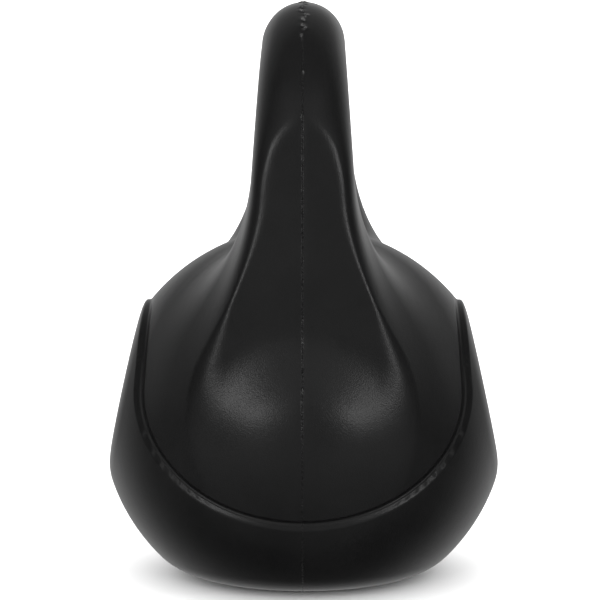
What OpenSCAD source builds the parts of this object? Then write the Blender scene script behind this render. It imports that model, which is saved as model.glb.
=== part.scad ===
// Filled plastic kettlebell: one hollow moulding around a cast ballast and a bent steel bar.
// X runs along the grip, Y from back to front, Z up. The origin is the middle of the base.

/* [Overall] */
// Height from the floor to the top of the grip
total_h = 234; // [210:1:280]
// Diameter of the round body, across its raised surface
body_d = 166; // [150:1:200]
// Height of the body's centre above the floor
body_center_z = 61.6; // [58:0.1:66]

/* [Body] */
// Radius of the bowl that draws the body in towards the base
bowl_r = 89; // [84:0.5:100]
// Height of the bowl's centre above the floor
bowl_center_z = 73; // [68:0.5:78]
// Radius that rounds the bowl into the flat base
base_round_r = 50; // [30:1:60]
// Half the body's depth at the lower edge of its front and back panels
panel_half_depth = 79.2; // [72:0.1:82]
// Height of the panels' lower edge
panel_edge_z = 50.5; // [40:0.5:56]
// Lean of the panels from upright, in degrees
panel_lean = 12.1; // [8:0.1:16]

/* [Saddle] */
// Depth of the saddle, the sunk strip that runs over the body and down both ends
saddle_depth = 1.9; // [1:0.1:4]
// Half the saddle's width, where it is widest
saddle_half_w = 64; // [50:0.5:66]
// Height of the saddle's widest place
saddle_wide_z = 82; // [76:0.5:90]
// Height of the lowest point of the saddle's rounded ends
saddle_end_z = 34.5; // [26:0.5:40]
// Lean of the saddle's sides towards each other above its widest place, in degrees
saddle_lean = 3; // [0:0.5:5]

/* [Handle] */
// Diameter of the grip
grip_d = 33.4; // [28:0.2:41]
// Radius of the bend from the grip into each leg, at the middle of the section
bend_r = 40; // [30:1:44]
// Lean of each leg from upright, in degrees
leg_lean = 2; // [1:0.5:5]
// Distance from the body's centre to the flat outer face of each leg
face_reach = 73.4; // [70:0.2:77]
// Growth of a leg's half depth for each millimetre below the grip
leg_growth = 0.07; // [0.04:0.005:0.1]
// Distance over which each leg blends into the body
neck_blend = 42; // [30:1:50]
// Height at which each leg ends, inside the body
leg_foot_z = 98; // [90:1:106]

/* [Moulding] */
// Wall thickness of the moulding
wall = 3; // [2:0.2:4]
// Diameter of the filling hole in the base
fill_hole_d = 34; // [24:1:42]
// Width of the ledge that the plug's flange sits on
ledge_w = 7; // [5:0.5:10]
// Depth of the recess for the flange and its washer
recess_depth = 2.8; // [2.4:0.1:3.2]

/* [Closure] */
// Thickness of the sealing washer
seal_t = 1; // [0.6:0.1:1.2]
// Depth that the flange is sunk below the base
flange_sink = 0.4; // [0.2:0.1:0.6]
// Depth that the plug reaches into the filling hole
plug_reach = 15; // [12:0.5:20]
// Wall thickness of the plug's skirt
plug_wall = 2.4; // [1.6:0.2:3]
// Gap between the plug's flange and the rim of its recess
flange_gap = 0.5; // [0.3:0.1:0.8]

/* [Reinforcement] */
// Diameter of the steel bar inside the handle
rod_d = 12; // [8:0.5:14]
// Height of the bar's lower ends above the floor
rod_foot_z = 60; // [45:1:80]

/* [Mesh] */
// Number of sections around the handle's window
section_count = 60; // [48:4:72]
// Number of points around each section
ring_count = 36; // [28:4:40]

/* [Hidden] */
$fn = 96;
margin = 1;

// Body: the raised surface is the outer one, and the saddle's surface lies below it
body_r = body_d / 2;
saddle_r = body_r - saddle_depth;
saddle_bowl_r = bowl_r - saddle_depth;
panel_reach = panel_half_depth * cos(panel_lean) + panel_edge_z * sin(panel_lean);
// The moulding's own form stays this far inside the panels and the base that cover it
cover_panel = 0.6;
cover_base = 2;
// Angle between the flats that make up the saddle's rounded ends
saddle_step = 7.5;

// Handle: the grip's centre line, and the legs' centre line measured outwards from the body's centre
grip_r = grip_d / 2;
grip_z = total_h - grip_r;
leg_extra = 0.5;
leg_r = grip_r + leg_extra;
// The end faces cut this much off the outer side of the legs, and stop short of the body
end_trim = 1;
body_clearance = 2;
leg_reach = face_reach + end_trim - leg_r;
leg_dir = [sin(leg_lean), -cos(leg_lean)];
leg_out = [cos(leg_lean), sin(leg_lean)];
bend_z = grip_z - bend_r;
bend_x = (leg_reach - bend_r - (bend_z - body_center_z) * leg_out[1]) / leg_out[0];

// Section form of the legs: a round inner side, and an outer side that squares off below the grip
round_power = 2;
square_power = 4.5;
square_start = -2;
square_end = 52;

// Smoothing distances where surfaces meet
ball_blend = 8;
base_blend = 14;
panel_blend = 1;
face_blend = 2;
foot_blend = 12;

// Sections fan out from an axis through the middle of the handle's window
window_z = (body_center_z + saddle_r + grip_z - grip_r) / 2;
core_reach = 95;
core_power = 4;
fan_bias = 20;
far_reach = 140;
search_steps = 22;

// The bar's straight runs and bends meet at places rounded to a tenth, so that their ends touch exactly
tenths = 10;
rod_bend_x = round(bend_x * tenths) / tenths;
rod_bend_z = round(bend_z * tenths) / tenths;

function smooth_max(a, b, k) = max(a, b) + pow(max(k - abs(a - b), 0), 2) / (4 * k);
function smooth_min(a, b, k) = -smooth_max(-a, -b, k);
function ease(t) = let(c = min(max(t, 0), 1)) c * c * (3 - 2 * c);

// Each _gap function is about the distance from p to a surface, and is negative inside it
function ball_gap(p) =
    let(
        upper = norm(p - [0, 0, body_center_z]) - saddle_r,
        bowl = norm(p - [0, 0, bowl_center_z]) - saddle_bowl_r,
        round_part = smooth_max(upper, bowl, ball_blend),
        panel = abs(p[1]) * cos(panel_lean) + p[2] * sin(panel_lean) - panel_reach + cover_panel
    )
    smooth_max(smooth_max(round_part, panel, panel_blend), cover_base - p[2], base_blend);

// Distance outwards from the bent centre line of the handle, in the plane of the loop
function loop_offset(p) =
    let(v = [abs(p[0]) - bend_x, p[2] - bend_z])
    v * leg_dir > 0 ? v * leg_out - bend_r
    : v[0] < 0 ? v[1] - bend_r
    : norm(v) - bend_r;

function handle_gap(p) =
    let(
        n = loop_offset(p),
        half_depth = grip_r + leg_growth * max(grip_z - p[2], 0),
        half_width = grip_r + (leg_r - grip_r) * ease((grip_z - p[2]) / bend_r),
        below_foot = max(leg_foot_z - p[2], 0),
        squared = ease((grip_z - p[2] - square_start) / (square_end - square_start)),
        power = n > 0 ? round_power + (square_power - round_power) * squared : round_power,
        across = pow(pow(abs(n) / half_width, power) + pow(abs(p[1]) / half_depth, power), 1 / power)
    )
    half_depth * (norm([across, below_foot / half_depth]) - 1);

function end_face_gap(p) =
    abs(p[0]) * leg_out[0] + (p[2] - body_center_z) * leg_out[1] - face_reach;

function form_gap(p) =
    let(
        ball = ball_gap(p),
        joined = smooth_min(ball, handle_gap(p), neck_blend),
        trimmed = smooth_min(end_face_gap(p), ball - body_clearance, foot_blend)
    )
    smooth_max(joined, trimmed, face_blend);

// Distance from the window's axis to the middle of the section at the angle a
function core_distance(a) =
    let(
        to_leg = max(cos(a - leg_lean), cos(180 - a - leg_lean), 0)
            / (leg_reach - (window_z - body_center_z) * leg_out[1]),
        to_grip = max(sin(a), 0) / (grip_z - window_z),
        to_ball = 1 / core_reach
    )
    pow(pow(to_leg, core_power) + pow(to_grip, core_power) + pow(to_ball, core_power), -1 / core_power);

function section_point(a, b, t) =
    let(reach = core_distance(a) - t * cos(b))
    [reach * cos(a), t * sin(b), window_z + reach * sin(a)];

// Halves the span from lo to hi until it closes on the surface that lies inset inside the form
function search(a, b, inset, lo, hi, steps) =
    let(mid = (lo + hi) / 2)
    steps == 0 ? mid
    : form_gap(section_point(a, b, mid)) + inset > 0 ? search(a, b, inset, lo, mid, steps - 1)
    : search(a, b, inset, mid, hi, steps - 1);

function surface_point(a, b, inset) =
    let(limit = cos(b) > 0 ? min(core_distance(a) / cos(b), far_reach) : far_reach)
    section_point(a, b, search(a, b, inset, 0, limit, search_steps));

// A closed ring of sections: the whole form of the moulding, drawn in by inset all over
module moulded_form(inset) {
    points = [
        for (i = [0 : section_count - 1])
            let(u = 360 * i / section_count, a = 90 + u + fan_bias * sin(u))
            for (j = [0 : ring_count - 1])
                surface_point(a, 360 * j / ring_count, inset)
    ];
    function at(i, j) = (i % section_count) * ring_count + j % ring_count;
    faces = [
        for (i = [0 : section_count - 1], j = [0 : ring_count - 1])
            each [
                [at(i, j), at(i + 1, j + 1), at(i + 1, j)],
                [at(i, j), at(i, j + 1), at(i + 1, j + 1)]
            ]
    ];
    polyhedron(points, faces);
}

module along_x(length) {
    rotate([90, 0, 90]) linear_extrude(length, center = true) children();
}

module saddle_outline() {
    end_h = saddle_wide_z - saddle_end_z;
    side_h = body_center_z + body_r - saddle_wide_z;
    head = saddle_half_w - side_h * tan(saddle_lean);
    polygon(concat(
        [for (a = [180 : saddle_step : 360]) [saddle_half_w * cos(a), saddle_wide_z + end_h * sin(a)]],
        [[head, saddle_wide_z + side_h], [-head, saddle_wide_z + side_h]]
    ));
}

module panel_outline() {
    top_z = body_center_z + body_r;
    head = panel_half_depth - (top_z - panel_edge_z) * tan(panel_lean);
    polygon([
        [-panel_half_depth, 0], [panel_half_depth, 0], [panel_half_depth, panel_edge_z],
        [head, top_z], [-head, top_z], [-panel_half_depth, panel_edge_z]
    ]);
}

// Half of the bowl's outline, from the axis outwards, with its foot rounded into the flat base
module bowl_outline() {
    foot_x = sqrt(pow(bowl_r - base_round_r, 2) - pow(bowl_center_z - base_round_r, 2));
    touch = [foot_x, base_round_r] * bowl_r / (bowl_r - base_round_r)
        - [0, bowl_center_z] * base_round_r / (bowl_r - base_round_r);
    intersection() {
        square([body_d, bowl_center_z + bowl_r]);
        union() {
            translate([0, bowl_center_z]) intersection() {
                circle(bowl_r);
                translate([0, touch[1] - bowl_center_z]) square([body_d, 2 * bowl_r]);
            }
            translate([foot_x, base_round_r]) circle(base_round_r);
            square([foot_x, base_round_r]);
        }
    }
}

// The raised part of the body: front and back panels and the bowl, with the saddle sunk between them
module raised_body() {
    difference() {
        intersection() {
            along_x(2 * body_d) panel_outline();
            translate([0, 0, body_center_z]) sphere(body_r);
            rotate_extrude() bowl_outline();
        }
        along_x(2 * body_d + margin) saddle_outline();
    }
}

module fill_hole() {
    translate([0, 0, -margin]) cylinder(d = fill_hole_d, h = plug_reach + margin);
    translate([0, 0, -margin]) cylinder(d = fill_hole_d + 2 * ledge_w, h = recess_depth + margin);
}

module rod_form() {
    translate([-rod_bend_x, 0, rod_bend_z + bend_r])
        rotate([0, 90, 0]) cylinder(d = rod_d, h = 2 * rod_bend_x);
    for (side = [0, 1]) mirror([side, 0, 0]) translate([rod_bend_x, 0, rod_bend_z]) {
        rotate([90, 0, 0]) rotate_extrude(angle = 90) translate([bend_r, 0]) circle(d = rod_d);
        translate([bend_r, 0, rod_foot_z - rod_bend_z]) cylinder(d = rod_d, h = rod_bend_z - rod_foot_z);
    }
}

module shell() {
    color([0.13, 0.13, 0.13]) difference() {
        union() {
            moulded_form(0);
            raised_body();
        }
        moulded_form(wall);
        fill_hole();
    }
}

module ballast_core() {
    color([0.55, 0.54, 0.52]) difference() {
        moulded_form(wall);
        rod_form();
        fill_hole();
    }
}

module handle_rod() {
    color([0.45, 0.42, 0.4]) rod_form();
}

module fill_plug() {
    flange_r = fill_hole_d / 2 + ledge_w - flange_gap;
    skirt_r = fill_hole_d / 2;
    flange_top = recess_depth - seal_t;
    color([0.1, 0.1, 0.1]) rotate_extrude() polygon([
        [0, flange_sink], [flange_r, flange_sink], [flange_r, flange_top], [skirt_r, flange_top],
        [skirt_r, plug_reach], [skirt_r - plug_wall, plug_reach],
        [skirt_r - plug_wall, flange_top + plug_wall], [0, flange_top + plug_wall]
    ]);
}

module plug_seal() {
    flange_r = fill_hole_d / 2 + ledge_w - flange_gap;
    color([0.25, 0.25, 0.25]) translate([0, 0, recess_depth - seal_t]) difference() {
        cylinder(r = flange_r, h = seal_t);
        translate([0, 0, -margin]) cylinder(d = fill_hole_d, h = seal_t + 2 * margin);
    }
}

shell();
ballast_core();
handle_rod();
fill_plug();
plug_seal();
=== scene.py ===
import math
import bmesh
import bpy
import numpy as np
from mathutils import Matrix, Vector


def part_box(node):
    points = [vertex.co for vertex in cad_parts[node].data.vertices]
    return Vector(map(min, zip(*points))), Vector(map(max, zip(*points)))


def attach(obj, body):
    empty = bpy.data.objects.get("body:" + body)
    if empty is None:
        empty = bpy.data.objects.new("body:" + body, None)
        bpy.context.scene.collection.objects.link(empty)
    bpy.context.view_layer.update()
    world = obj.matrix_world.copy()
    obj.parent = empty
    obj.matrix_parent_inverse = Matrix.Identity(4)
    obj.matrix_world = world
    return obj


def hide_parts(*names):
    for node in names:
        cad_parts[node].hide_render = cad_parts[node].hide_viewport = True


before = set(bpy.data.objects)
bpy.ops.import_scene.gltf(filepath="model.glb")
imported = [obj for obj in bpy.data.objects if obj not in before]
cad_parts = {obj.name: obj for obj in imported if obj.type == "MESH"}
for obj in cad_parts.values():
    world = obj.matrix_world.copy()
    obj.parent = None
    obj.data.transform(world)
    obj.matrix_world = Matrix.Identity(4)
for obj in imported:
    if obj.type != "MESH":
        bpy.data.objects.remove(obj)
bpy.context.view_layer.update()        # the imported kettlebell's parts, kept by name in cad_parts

mm = 0.001
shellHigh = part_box("shell")[1]
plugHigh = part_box("fill_plug")[1]
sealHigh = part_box("plug_seal")[1]

# ---- the moulding's form, in millimetres from the middle of the base ----
# X runs along the grip, Y from back to front, Z up
form = {
    "height": shellHigh[2] / mm,
    "bodyRadius": 82.9,                    # across the raised surface
    "panelDepth": shellHigh[1] / mm,       # half the depth at the panels' lower edge
    "bodyZ": 61.6,
    "bowlRadius": 89.1,
    "bowlZ": 73.0,
    "panelEdgeZ": 50.5,
    "panelLean": 12.1,                     # degrees from upright
    "saddleDepth": 1.9,
    "saddleHalfWidth": 64.0,
    "saddleWideZ": 82.0,
    "saddleEndZ": 34.5,
    "saddleLean": 3.0,
    "riserWidth": 3.2,                     # the slope between the saddle and the raised surface
    "shallowFoot": 0.5,                    # share of the saddle's depth lost at its lower end
    "shallowHalfWidth": 36.0,
    "shallowTopZ": 74.0,
    "gripDiameter": 33.3,
    "bendRadius": 40.0,
    "legLean": 2.0,
    "legExtra": 0.5,                       # how much the legs are thicker than the grip, to each side
    "endTrim": 1.0,                        # depth that the flat outer faces cut off the legs
    "legGrowth": 0.07,                     # half depth gained per millimetre below the grip
    "legFootZ": 98.0,
    "neckBlend": 42.0,
    "faceBlend": 0.9,                      # the faces' edges: crisp on the legs,
    "faceFade": 4.0,                       # softer by this much where they run out
    "fadeTopZ": 124.0,
    "fadeEndZ": 92.0,
    "ballBlend": 7.5,
    "baseBlend": 9.0,
    "panelBlend": 2.5,
    "faceReach": 73.4,                     # from the body's middle to the legs' flat outer faces
    "footBlend": 5.0,                     # where those faces run out on the body
    "footRelief": 1.0,
    "squarePower": 4.5,                    # how square the legs' outer side gets
    "squareTop": 20.0,                     # millimetres below the grip's middle where squaring starts
    "squareDrop": 36.0,
    "wall": 3.0,
}


def smoothMax(a, b, k):
    return np.maximum(a, b) + np.maximum(k - np.abs(a - b), 0) ** 2 / (4 * k)


def smoothMin(a, b, k):
    return -smoothMax(-a, -b, k)


def ease(t):
    c = np.clip(t, 0, 1)
    return c * c * (3 - 2 * c)


def sine(degrees):
    return math.sin(math.radians(degrees))


def cosine(degrees):
    return math.cos(math.radians(degrees))


# Places that follow from the sizes above
gripRadius = form["gripDiameter"] / 2
gripZ = form["height"] - gripRadius
legRadius = gripRadius + form["legExtra"]
saddleRadius = form["bodyRadius"] - form["saddleDepth"]
legReach = form["faceReach"] - legRadius + form["endTrim"]
bendZ = gripZ - form["bendRadius"]
bendDrop = (bendZ - form["bodyZ"]) * sine(form["legLean"])
bendX = (legReach - form["bendRadius"] - bendDrop) / cosine(form["legLean"])
windowZ = (form["bodyZ"] + saddleRadius + gripZ - gripRadius) / 2
panelOut, panelUp = cosine(form["panelLean"]), sine(form["panelLean"])
panelReach = form["panelDepth"] * panelOut + form["panelEdgeZ"] * panelUp


# Distance outside the saddle's outline, seen along the grip: negative in the saddle
def saddleGap(y, z):
    endHeight = form["saddleWideZ"] - form["saddleEndZ"]
    below = np.minimum(z - form["saddleWideZ"], 0) / endHeight
    side = np.abs(y) / form["saddleHalfWidth"]
    radius = np.sqrt(side ** 2 + below ** 2)
    slope = np.sqrt((side / form["saddleHalfWidth"]) ** 2 + (below / endHeight) ** 2)
    slope = slope / np.maximum(radius, 0.01)
    above = np.maximum(z - form["saddleWideZ"], 0) * math.tan(math.radians(form["saddleLean"]))
    return (radius - 1) / np.maximum(slope, 0.001) + above


# A ball with a flatter bowl under it and a flat panel front and back
def bodyGap(x, y, z):
    low = 1 - ease((z - form["saddleEndZ"]) / (form["shallowTopZ"] - form["saddleEndZ"]))
    shallow = form["shallowFoot"] * low * np.exp(-(y / form["shallowHalfWidth"]) ** 2)
    depth = form["saddleDepth"] * (1 - shallow)
    lift = -depth * (1 - ease(saddleGap(y, z) / form["riserWidth"]))
    ball = np.sqrt(x * x + y * y + (z - form["bodyZ"]) ** 2) - form["bodyRadius"] - lift
    bowl = np.sqrt(x * x + y * y + (z - form["bowlZ"]) ** 2) - form["bowlRadius"] - lift
    panel = np.abs(y) * panelOut + z * panelUp - panelReach
    body = smoothMax(smoothMax(ball, panel, form["panelBlend"]), bowl, form["ballBlend"])
    return smoothMax(body, -z, form["baseBlend"])


# The handle is a bent bar: round at the grip, squared off outside and deeper towards the neck
def handleGap(x, y, z):
    vx, vz = np.abs(x) - bendX, z - bendZ
    lean, out = sine(form["legLean"]), cosine(form["legLean"])
    alongLeg = vx * out + vz * lean
    offset = np.where(vx * lean - vz * out > 0, alongLeg, np.where(vx < 0, vz, np.hypot(vx, vz)))
    offset = offset - form["bendRadius"]
    halfDepth = gripRadius + form["legGrowth"] * np.maximum(gripZ - z, 0)
    halfWidth = gripRadius + (legRadius - gripRadius) * ease((gripZ - z) / form["bendRadius"])
    squared = ease((gripZ - form["squareTop"] - z) / form["squareDrop"])
    power = np.where(offset > 0, 2 + (form["squarePower"] - 2) * squared, 2.0)
    foot = np.maximum(form["legFootZ"] - z, 0) / halfDepth
    across = ((np.abs(offset) / halfWidth) ** power + (np.abs(y) / halfDepth) ** power) ** (1 / power)
    return halfDepth * (np.hypot(across, foot) - 1)


# Body and handle run together in a broad neck, and flat faces trim both ends
def formGap(x, y, z):
    body = bodyGap(x, y, z)
    joined = smoothMin(body, handleGap(x, y, z), form["neckBlend"])
    face = np.abs(x) * cosine(form["legLean"]) + (z - form["bodyZ"]) * sine(form["legLean"])
    face = face - form["faceReach"]
    trimmed = smoothMin(face, body - form["footRelief"], form["footBlend"])
    fade = 1 - ease((z - form["fadeEndZ"]) / (form["fadeTopZ"] - form["fadeEndZ"]))
    return smoothMax(joined, trimmed, form["faceBlend"] + form["faceFade"] * fade)


# Sections fan out from an axis through the middle of the handle's window
coreReach = 95
farReach = 140


def coreDistance(a):
    lean = math.radians(form["legLean"])
    facing = np.maximum(np.maximum(np.cos(a - lean), np.cos(math.pi - a - lean)), 0)
    toLeg = facing / (legReach - (windowZ - form["bodyZ"]) * math.sin(lean))
    toGrip = np.maximum(np.sin(a), 0) / (gripZ - windowZ)
    return (toLeg ** 4 + toGrip ** 4 + coreReach ** -4.0) ** -0.25


def sectionPoints(a, b, inset):
    core = coreDistance(a)
    low = np.zeros_like(a)
    high = np.where(np.cos(b) > 0, np.minimum(core / np.maximum(np.cos(b), 1e-9), farReach), farReach)
    for step in range(grid["halvings"]):
        middle = (low + high) / 2
        reach = core - middle * np.cos(b)
        outside = formGap(reach * np.cos(a), middle * np.sin(b), windowZ + reach * np.sin(a)) + inset > 0
        low, high = np.where(outside, low, middle), np.where(outside, middle, high)
    middle = (low + high) / 2
    reach = core - middle * np.cos(b)
    return np.stack([reach * np.cos(a), middle * np.sin(b), windowZ + reach * np.sin(a)], -1)


# Angles round a circle, closer together where density is high
def spacedAngles(angles, density, count):
    total = np.concatenate([[0], np.cumsum((density + np.roll(density, -1)) / 2)])
    wanted = np.arange(count) / count * total[-1]
    return np.interp(wanted, total, np.append(angles, angles[0] + 2 * math.pi))


grid = {
    "rows": 760,
    "columns": 560,
    "innerRows": 120,
    "innerColumns": 90,
    "endBoost": 1.6,         # closer rows down both ends of the body
    "riserBoost": 4.0,       # closer columns on the saddle's riser
    "seamBoost": 9.0,        # closer columns on the parting line
    "evening": 9,            # rows over which the columns' places are evened out
    "riserReach": 4.0,       # millimetres either side of the riser that get closer columns
    "seamReach": 1.1,
    "leastDensity": 0.15,
    "halvings": 24,          # how often the search for the surface halves its step
    "outlineSteps": 3000,
    "coarseColumns": 720,
    "endLowZ": 26.0,         # between these heights the rows lie closer
    "endLowFade": 6.0,
    "endHighZ": 124.0,
    "endHighFade": 12.0,
}


# Rows are spaced along the outline of the middle section, closer together down the body's ends
def rowAngles(count):
    a = np.linspace(0, 2 * math.pi, grid["outlineSteps"], endpoint=False) + math.pi / 2
    outline = sectionPoints(a, np.full_like(a, math.pi), 0)
    stride = np.linalg.norm(np.roll(outline, -1, 0) - np.roll(outline, 1, 0), axis=-1) / 2
    z = outline[:, 2]
    aboveLow = ease((z - grid["endLowZ"]) / grid["endLowFade"])
    onEnd = aboveLow * ease((grid["endHighZ"] - z) / grid["endHighFade"])
    return spacedAngles(a, stride * (1 + grid["endBoost"] * onEnd), count)


# Each column's angle varies gently from row to row, so that no face is drawn out of shape
def evened(b, spread):
    waves = np.fft.fft(b, axis=0)
    frequency = np.fft.fftfreq(len(b))[:, None]
    return np.fft.ifft(waves * np.exp(-2 * (math.pi * frequency * spread) ** 2), axis=0).real


def gridPoints(rows, columns, inset, fine):
    a = rowAngles(rows)
    coarse = np.linspace(0, 2 * math.pi, grid["coarseColumns"], endpoint=False)
    if not fine:
        few = coarse[:: grid["coarseColumns"] // columns]
        return sectionPoints(*np.meshgrid(a, few, indexing="ij"), inset)
    start = sectionPoints(*np.meshgrid(a, coarse, indexing="ij"), inset)
    stride = np.linalg.norm(np.roll(start, -1, 1) - start, axis=-1)
    stride = (stride + np.roll(stride, 1, 1)) / 2
    y, z = start[..., 1], start[..., 2]
    onRiser = np.exp(-((saddleGap(y, z) - form["riserWidth"] / 2) / grid["riserReach"]) ** 2)
    onSeam = np.exp(-(y / grid["seamReach"]) ** 2)
    density = stride * (1 + grid["riserBoost"] * onRiser + grid["seamBoost"] * onSeam) + grid["leastDensity"]
    b = evened(np.stack([spacedAngles(coarse, row, columns) for row in density]), grid["evening"])
    return sectionPoints(np.repeat(a[:, None], columns, 1), b, inset)


def gridFaces(rows, columns, first, inward):
    index = first + np.arange(rows * columns).reshape(rows, columns)
    down = np.roll(index, -1, 0)
    corners = [index, down, np.roll(down, -1, 1), np.roll(index, -1, 1)]
    return np.stack(corners if not inward else corners[::-1], -1).reshape(-1, 4)


# ---- the parting line ----
seam = {
    "height": 0.5,           # millimetres that the thickest flash stands proud
    "halfWidth": 0.3,
    "dip": 0.1,              # shallow sink on both sides of it
    "dipWidth": 1.4,
    "seed": 7,
    "thin": 0.1,             # flash left where the two mould halves closed well
    "plain": 0.55,           # share of the flash's height that is even, and the rest comes and goes
    "uneven": 0.45,
    "crumbWaves": (9, 0.9),  # longest and shortest wave of its height, its place and its ends
    "swayWaves": (30, 2.5),
    "endWaves": (50, 5),
    "sway": 0.5,             # how far it wanders, as a share of its width
    # height of a worn or open place, its length upwards, its strength, its extra width
    "patches": [(229, 13, 1.25, 3.6), (211, 6, 0.75, 0.8), (196, 9, 0.7, 0.3), (143, 22, 0.45, 0.0),
                (85, 7, 1.0, 0.4), (62, 12, 0.2, 0.0), (20, 9, 0.35, 0.0), (1, 3, 0.7, 0.8)],
}


# A ragged line: sums of waves whose lengths have no common measure
def ragged(distance, longest, shortest, seed):
    rng = np.random.default_rng(seed)
    count = 26
    lengths = longest * (shortest / longest) ** (np.arange(count) / (count - 1))
    phases = rng.uniform(0, 2 * math.pi, count)
    weights = (lengths / longest) ** 0.3
    waves = [w * np.sin(2 * math.pi * distance / l + p) for w, l, p in zip(weights, lengths, phases)]
    total = sum(waves)
    return total / math.sqrt((weights ** 2).sum() / 2)


def addSeam(points):
    normal = gridNormals(points)
    flash = np.zeros(points.shape[:2])
    for column, seed in ((0, seam["seed"]), (points.shape[1] // 2, seam["seed"] + 1)):
        line = points[:, column]
        walk = np.cumsum(np.linalg.norm(np.roll(line, -1, 0) - line, axis=-1))
        strength, width = np.full(len(line), seam["thin"]), np.full(len(line), seam["halfWidth"])
        for z, length, power, extra in seam["patches"]:
            here = np.exp(-((line[:, 2] - z + ragged(walk, *seam["endWaves"], seed + 20)) / length) ** 2)
            strength = np.maximum(strength, power * here)
            width = width * (1 + extra * here)
        crumbs = seam["plain"] + seam["uneven"] * ragged(walk, *seam["crumbWaves"], seed)
        height = strength * np.clip(crumbs, 0.05, 1.6)
        sway = width * seam["sway"] * ragged(walk, *seam["swayWaves"], seed + 90)
        side = np.abs(np.arange(points.shape[1]) - column)
        near = np.minimum(side, points.shape[1] - side) < points.shape[1] // 6
        gap = (points[:, near, 1] - sway[:, None]) / width[:, None]
        flash[:, near] += height[:, None] / (1 + gap ** 2) ** 2
    sink = np.exp(-(points[..., 1] / seam["dipWidth"]) ** 2)
    return points + normal * (seam["height"] * flash - seam["dip"] * sink)[..., None], flash


def gridNormals(points):
    down = np.roll(points, -1, 0) - np.roll(points, 1, 0)
    across = np.roll(points, -1, 1) - np.roll(points, 1, 1)
    normal = np.cross(down, across)
    return normal / np.linalg.norm(normal, axis=-1, keepdims=True)


# The form's own slope, which is smoother than the faces where they cross the riser
def formNormals(points, reach=0.05):
    x, y, z = points[..., 0], points[..., 1], points[..., 2]
    slope = np.stack([
        formGap(x + reach, y, z) - formGap(x - reach, y, z),
        formGap(x, y + reach, z) - formGap(x, y - reach, z),
        formGap(x, y, z + reach) - formGap(x, y, z - reach),
    ], -1)
    return slope / np.maximum(np.linalg.norm(slope, axis=-1, keepdims=True), 1e-9)


def meshObject(name, points, faces):
    mesh = bpy.data.meshes.new(name)
    mesh.from_pydata(points.tolist(), [], faces.tolist())
    mesh.shade_smooth()
    made = bpy.data.objects.new(name, mesh)
    bpy.context.scene.collection.objects.link(made)
    return made


closure = {
    "openRadius": 27.0,      # the base is left open this far out, and the rim closes it
    "rimRadius": 30.0,
    "recessRadius": plugHigh[0] / mm + 0.5,
    "ledgeZ": sealHigh[2] / mm,
    "rimProud": 0.06,
    "chamfer": 0.5,
    "steps": 160,
}


def makeShell():
    smoothForm = gridPoints(grid["rows"], grid["columns"], 0, True)
    outer, flash = addSeam(smoothForm)
    shapeNormals = formNormals(smoothForm)
    bySeam = np.exp(-(smoothForm[..., 1] / 3.2) ** 4)[..., None]
    normals = bySeam * gridNormals(outer) + (1 - bySeam) * shapeNormals
    inner = gridPoints(grid["innerRows"], grid["innerColumns"], form["wall"], False)
    outerFaces = gridFaces(grid["rows"], grid["columns"], 0, False)
    innerFaces = gridFaces(*inner.shape[:2], outer.shape[0] * outer.shape[1], True)
    flat = outer.reshape(-1, 3)
    middle = flat[outerFaces].mean(1)
    kept = (np.hypot(middle[:, 0], middle[:, 1]) > closure["openRadius"]) | (middle[:, 2] > form["wall"])
    points = np.concatenate([flat, inner.reshape(-1, 3)]) * mm
    shell = meshObject("mouldedShell", points, np.concatenate([outerFaces[kept], innerFaces]))
    allNormals = np.concatenate([normals.reshape(-1, 3), -formNormals(inner).reshape(-1, 3)])
    shell.data.normals_split_custom_set_from_vertices(allNormals.tolist())
    lining = np.zeros(inner.size // 3)                # nothing shows on the inner surface
    edge = saddleGap(smoothForm[..., 1], smoothForm[..., 2]).ravel()
    layers = {"flash": np.append(flash.ravel(), lining), "edge": np.append(edge, lining + 99)}
    for name, values in layers.items():
        layer = shell.data.attributes.new(name, "FLOAT", "POINT")
        layer.data.foreach_set("value", values.astype(np.float32))
    print("shell:", len(points), "points")
    return shell


# The rim round the filling hole: a chamfered step down to the ledge that the washer sits on
def makeRim():
    r, rim, c, up, low = (closure["recessRadius"], closure["rimRadius"], closure["chamfer"],
                          closure["ledgeZ"], -closure["rimProud"])
    profile = [(r, up), (r, up * 0.5), (r, c), (r + 0.3 * c, 0.3 * c), (r + c, low),
               ((r + rim) / 2, low), (rim - c, low), (rim - 0.3 * c, low + 0.1), (rim, low + 0.4), (rim, up)]
    turns = np.arange(closure["steps"]) / closure["steps"] * 2 * math.pi
    points = np.array([(a * math.cos(t), a * math.sin(t), z) for t in turns for a, z in profile]) * mm
    rim = meshObject("fillRim", points, gridFaces(closure["steps"], len(profile), 0, True))
    print("rim round the filling hole: done")
    return rim


shell = makeShell()
rim = makeRim()
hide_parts("shell")
for piece in (shell, rim):
    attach(piece, "root")


# ---- materials ----
def newMaterial(name):
    material = bpy.data.materials.new(name)
    material.use_nodes = True
    tree = material.node_tree
    return material, tree, tree.nodes["Principled BSDF"]


def noise(tree, size, detail, roughness=0.5):
    place = tree.nodes.new("ShaderNodeTexCoord")
    texture = tree.nodes.new("ShaderNodeTexNoise")
    texture.inputs["Scale"].default_value = 1 / (size * mm)
    texture.inputs["Detail"].default_value = detail
    texture.inputs["Roughness"].default_value = roughness
    tree.links.new(place.outputs["Object"], texture.inputs["Vector"])
    return texture.outputs["Fac"]


def spread(tree, value, low, high, fromLow=0.3, fromHigh=0.7):
    ramp = tree.nodes.new("ShaderNodeMapRange")
    ramp.inputs["From Min"].default_value = fromLow
    ramp.inputs["From Max"].default_value = fromHigh
    ramp.inputs["To Min"].default_value = low
    ramp.inputs["To Max"].default_value = high
    tree.links.new(value, ramp.inputs["Value"])
    return ramp.outputs["Result"]


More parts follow.
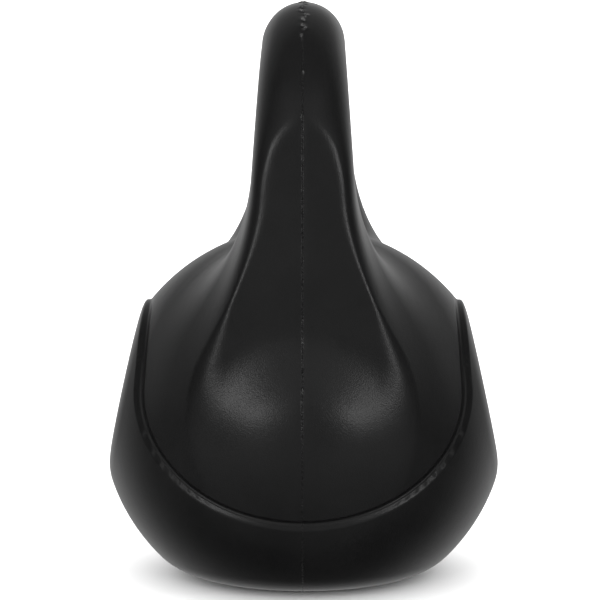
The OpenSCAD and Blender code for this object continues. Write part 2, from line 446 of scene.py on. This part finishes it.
def together(tree, operation, a, b):
    node = tree.nodes.new("ShaderNodeMath")
    node.operation = operation
    tree.links.new(a, node.inputs[0])
    if isinstance(b, float):
        node.inputs[1].default_value = b
    else:
        tree.links.new(b, node.inputs[1])
    return node.outputs[0]


def tint(tree, value, dark, light):
    mix = tree.nodes.new("ShaderNodeMix")
    mix.data_type = "RGBA"
    mix.inputs["A"].default_value = dark + (1,)
    mix.inputs["B"].default_value = light + (1,)
    tree.links.new(value, mix.inputs["Factor"])
    return mix.outputs["Result"]


def emboss(tree, shader, height, distance, strength=1.0):
    bump = tree.nodes.new("ShaderNodeBump")
    bump.inputs["Strength"].default_value = strength
    bump.inputs["Distance"].default_value = distance * mm
    tree.links.new(height, bump.inputs["Height"])
    tree.links.new(bump.outputs["Normal"], shader.inputs["Normal"])


plastic = {
    "colour": (0.0024, 0.0024, 0.0025),
    "paleColour": (0.004, 0.004, 0.0041),
    "flashColour": (0.075, 0.075, 0.074),
    "roughness": (0.3, 0.345),
    "grainSize": 0.55,       # millimetres
    "grainDepth": 0.062,
    "peelSize": 2.6,
    "peelDepth": 0.03,
    "grooveFrom": -1.5,      # millimetres from the saddle's outline
    "grooveFloor": -0.3,
    "grooveTo": 1.0,
    "grooveDepth": 0.5,
    "stitchWidth": 0.5,      # the fine line where the mould halves met
    "stitchDepth": 0.22,
}


# The thin groove just inside the saddle's outline
def groove(tree):
    edge = tree.nodes.new("ShaderNodeAttribute")
    edge.attribute_name = "edge"
    inner = spread(tree, edge.outputs["Fac"], 0, 1, plastic["grooveFrom"], plastic["grooveFloor"])
    outer = spread(tree, edge.outputs["Fac"], 1, 0, plastic["grooveFloor"], plastic["grooveTo"])
    for wall in (inner, outer):
        wall.node.interpolation_type = "SMOOTHSTEP"
    return together(tree, "MINIMUM", inner, outer)


# A thin broken line along the parting plane
def stitches(tree):
    place = tree.nodes.new("ShaderNodeTexCoord")
    parts = tree.nodes.new("ShaderNodeSeparateXYZ")
    tree.links.new(place.outputs["Object"], parts.inputs[0])
    side = together(tree, "ABSOLUTE", parts.outputs["Y"], 0.0)
    line = spread(tree, side, 1, 0, 0, plastic["stitchWidth"] * mm)
    broken = spread(tree, noise(tree, 1.3, 2, 0.6), -0.6, 1, 0.42, 0.6)
    return together(tree, "MULTIPLY", line, broken)


def blackPlastic(name, flashed):
    material, tree, shader = newMaterial(name)
    grain = noise(tree, plastic["grainSize"], 2, 0.6)
    peel = noise(tree, plastic["peelSize"], 1)
    cloud = noise(tree, 38, 4, 0.6)
    colour = tint(tree, spread(tree, cloud, 0, 1), plastic["colour"], plastic["paleColour"])
    rough = spread(tree, cloud, *plastic["roughness"])
    shallow = together(tree, "MULTIPLY", peel, plastic["peelDepth"] / plastic["grainDepth"])
    height = together(tree, "ADD", grain, shallow)
    if flashed:
        cut = together(tree, "MULTIPLY", groove(tree), -plastic["grooveDepth"] / plastic["grainDepth"])
        line = together(tree, "MULTIPLY", stitches(tree), plastic["stitchDepth"] / plastic["grainDepth"])
        height = together(tree, "ADD", height, together(tree, "ADD", cut, line))
        line = tree.nodes.new("ShaderNodeAttribute")
        line.attribute_name = "flash"
        crumbs = spread(tree, noise(tree, 0.8, 3, 0.7), 0, 1, 0.42, 0.58)
        worn = together(tree, "MULTIPLY", spread(tree, line.outputs["Fac"], 0, 1, 0.35, 1.0), crumbs)
        mix = tree.nodes.new("ShaderNodeMix")
        mix.data_type = "RGBA"
        mix.inputs["B"].default_value = plastic["flashColour"] + (1,)
        tree.links.new(worn, mix.inputs["Factor"])
        tree.links.new(colour, mix.inputs["A"])
        colour = mix.outputs["Result"]
    tree.links.new(colour, shader.inputs["Base Color"])
    tree.links.new(rough, shader.inputs["Roughness"])
    emboss(tree, shader, height, plastic["grainDepth"])
    return material


hidden = {
    "ballast": {"dark": (0.1, 0.095, 0.09), "light": (0.32, 0.31, 0.29), "grain": 1.6, "depth": 0.35},
    "rod": {"dark": (0.16, 0.14, 0.13), "light": (0.42, 0.4, 0.38), "grain": 2.2, "depth": 0.05},
    "seal": {"dark": (0.012, 0.012, 0.012), "light": (0.03, 0.03, 0.03), "grain": 0.8, "depth": 0.02},
}


def castMix():
    values = hidden["ballast"]
    material, tree, shader = newMaterial("castMix")
    sand = noise(tree, values["grain"], 6, 0.7)
    cloud = noise(tree, 25, 3)
    mixed = together(tree, "MULTIPLY", together(tree, "ADD", sand, cloud), 0.5)
    colour = tint(tree, spread(tree, mixed, 0, 1, 0.35, 0.65), values["dark"], values["light"])
    tree.links.new(colour, shader.inputs["Base Color"])
    tree.links.new(spread(tree, sand, 0.8, 0.95), shader.inputs["Roughness"])
    emboss(tree, shader, sand, values["depth"])
    return material


def rolledSteel():
    values = hidden["rod"]
    material, tree, shader = newMaterial("rolledSteel")
    scale = noise(tree, values["grain"], 5, 0.65)
    colour = tint(tree, spread(tree, scale, 0, 1), values["dark"], values["light"])
    tree.links.new(colour, shader.inputs["Base Color"])
    tree.links.new(spread(tree, scale, 0.35, 0.6), shader.inputs["Roughness"])
    shader.inputs["Metallic"].default_value = 1
    emboss(tree, shader, scale, values["depth"])
    return material


def softRubber():
    values = hidden["seal"]
    material, tree, shader = newMaterial("softRubber")
    skin = noise(tree, values["grain"], 3)
    colour = tint(tree, spread(tree, skin, 0, 1), values["dark"], values["light"])
    tree.links.new(colour, shader.inputs["Base Color"])
    tree.links.new(spread(tree, skin, 0.6, 0.75), shader.inputs["Roughness"])
    emboss(tree, shader, skin, values["depth"])
    return material


def dress(piece, material):
    slots = piece.material_slots
    if not slots:
        piece.data.materials.append(material)
    for slot in slots:
        slot.material = material


plain = blackPlastic("blackPlastic", False)
dress(shell, blackPlastic("flashedPlastic", True))
dress(rim, plain)
dress(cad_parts["fill_plug"], plain)
dress(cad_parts["plug_seal"], softRubber())
dress(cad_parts["handle_rod"], rolledSteel())
dress(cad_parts["ballast_core"], castMix())
print("materials: done")

# ---- floor, light and camera ----
studio = {
    "floorSize": 24.0,
    "floorColour": (0.9, 0.9, 0.9, 1),
    "distance": 1.2,
    "elevation": 7.0,
    "azimuth": 0.44,         # degrees from +X towards +Y
    "lens": 175.7,
    "aimZ": 0.115,
    "shift": (-0.0065, -0.0093),
    "air": 2.1,              # evenly lit white room
    "backGlow": 1.0,         # how bright the room behind the object is in reflections
    "frontGlow": 0.03,
    "glowFrom": 0.0,
    "glowTo": -1.0,
    # how much of it is left at each height, from straight down to straight up
    "backByHeight": [(-1.0, 0.3), (-0.7, 0.6), (-0.45, 0.8), (0.12, 0.8), (0.45, 0.32), (1.0, 0.34)],
    # what the black surface sees in front, in the same way
    "frontByHeight": [(-1.0, 0.09), (-0.68, 0.14), (-0.46, 0.22), (-0.22, 0.34), (-0.05, 0.08),
                      (0.1, 0.05), (0.3, 0.14), (0.56, 0.34), (0.83, 0.13), (1.0, 0.14)],
}


def onSphere(distance, azimuth, elevation):
    a, e = math.radians(azimuth), math.radians(elevation)
    return Vector((math.cos(e) * math.cos(a), math.cos(e) * math.sin(a), math.sin(e))) * distance


def makeCamera():
    aim = Vector((0, 0, studio["aimZ"]))
    data = bpy.data.cameras.new("camera")
    data.lens = studio["lens"]
    data.shift_x, data.shift_y = studio["shift"]
    camera = bpy.data.objects.new("camera", data)
    camera.location = aim + onSphere(studio["distance"], studio["azimuth"], studio["elevation"])
    camera.rotation_euler = (aim - camera.location).to_track_quat("-Z", "Y").to_euler()
    bpy.context.scene.collection.objects.link(camera)
    bpy.context.scene.camera = camera


# name: azimuth, elevation, distance, width, height, brightness of its face
lights = {
    "frontPanel": (0, 15, 1.5, 0.8, 1.1, 0.03),
    "leftLamp": (-27, 11, 1.6, 0.1, 0.16, 44),
    "rightLamp": (31, 10, 1.6, 0.1, 0.16, 44),
}


def makeLights():
    aim = Vector((0, 0, studio["aimZ"]))
    for name, (azimuth, elevation, distance, width, height, brightness) in lights.items():
        data = bpy.data.lights.new(name, "AREA")
        data.shape = "RECTANGLE"
        data.size, data.size_y = width, height
        data.energy = brightness * math.pi * width * height
        light = bpy.data.objects.new(name, data)
        light.location = aim + onSphere(distance, azimuth, elevation)
        light.rotation_euler = (aim - light.location).to_track_quat("-Z", "Y").to_euler()
        light.visible_camera = False
        bpy.context.scene.collection.objects.link(light)


def makeFloor():
    bm = bmesh.new()
    bmesh.ops.create_grid(bm, x_segments=8, y_segments=8, size=studio["floorSize"] / 2)
    mesh = bpy.data.meshes.new("floor")
    bm.to_mesh(mesh)
    bm.free()
    floor = bpy.data.objects.new("floor", mesh)
    bpy.context.scene.collection.objects.link(floor)
    floor.visible_glossy = False
    material, tree, shader = newMaterial("paleFloor")
    shader.inputs["Base Color"].default_value = studio["floorColour"]
    shader.inputs["Roughness"].default_value = 0.9
    shader.inputs["Specular IOR Level"].default_value = 0
    mesh.materials.append(material)


# A curve through (height, brightness) stops, for a height from -1 to 1
def byHeight(tree, value, stops):
    level = tree.nodes.new("ShaderNodeFloatCurve")
    level.inputs["Factor"].default_value = 1
    curve = level.mapping.curves[0]
    for point, (height, brightness) in zip(curve.points, (stops[0], stops[-1])):
        point.location = ((height + 1) / 2, brightness)
    for height, brightness in stops[1:-1]:
        curve.points.new((height + 1) / 2, brightness)
    level.mapping.update()
    tree.links.new(spread(tree, value, 0, 1, -1, 1), level.inputs["Value"])
    return level.outputs["Value"]


# The room is white all round, but reflections see it bright behind the object and dim in front
def makeRoom():
    world = bpy.data.worlds.new("studioAir")
    world.use_nodes = True
    tree = world.node_tree
    air = tree.nodes["Background"]
    air.inputs["Color"].default_value = (1, 1, 1, 1)
    air.inputs["Strength"].default_value = studio["air"]
    direction = tree.nodes.new("ShaderNodeTexCoord")
    parts = tree.nodes.new("ShaderNodeSeparateXYZ")
    tree.links.new(direction.outputs["Generated"], parts.inputs[0])
    ramp = tree.nodes.new("ShaderNodeMapRange")
    ramp.interpolation_type = "SMOOTHSTEP"
    ramp.inputs["From Min"].default_value = studio["glowFrom"]
    ramp.inputs["From Max"].default_value = studio["glowTo"]
    ramp.inputs["To Min"].default_value = studio["frontGlow"]
    ramp.inputs["To Max"].default_value = studio["backGlow"]
    tree.links.new(parts.outputs["X"], ramp.inputs["Value"])
    front = spread(tree, parts.outputs["X"], 0, 1, 0.0, 0.6)
    inFront = together(tree, "MULTIPLY", front, byHeight(tree, parts.outputs["Z"], studio["frontByHeight"]))
    behind = together(tree, "MULTIPLY", ramp.outputs["Result"],
                      byHeight(tree, parts.outputs["Z"], studio["backByHeight"]))
    glow = tree.nodes.new("ShaderNodeBackground")
    tree.links.new(together(tree, "ADD", behind, inFront), glow.inputs["Strength"])
    path = tree.nodes.new("ShaderNodeLightPath")
    mix = tree.nodes.new("ShaderNodeMixShader")
    tree.links.new(path.outputs["Is Glossy Ray"], mix.inputs[0])
    tree.links.new(air.outputs[0], mix.inputs[1])
    tree.links.new(glow.outputs[0], mix.inputs[2])
    tree.links.new(mix.outputs[0], tree.nodes["World Output"].inputs["Surface"])
    bpy.context.scene.world = world
    bpy.context.scene.view_settings.view_transform = "Standard"


makeCamera()
makeLights()
makeFloor()
makeRoom()
print("camera, lights and floor: done")
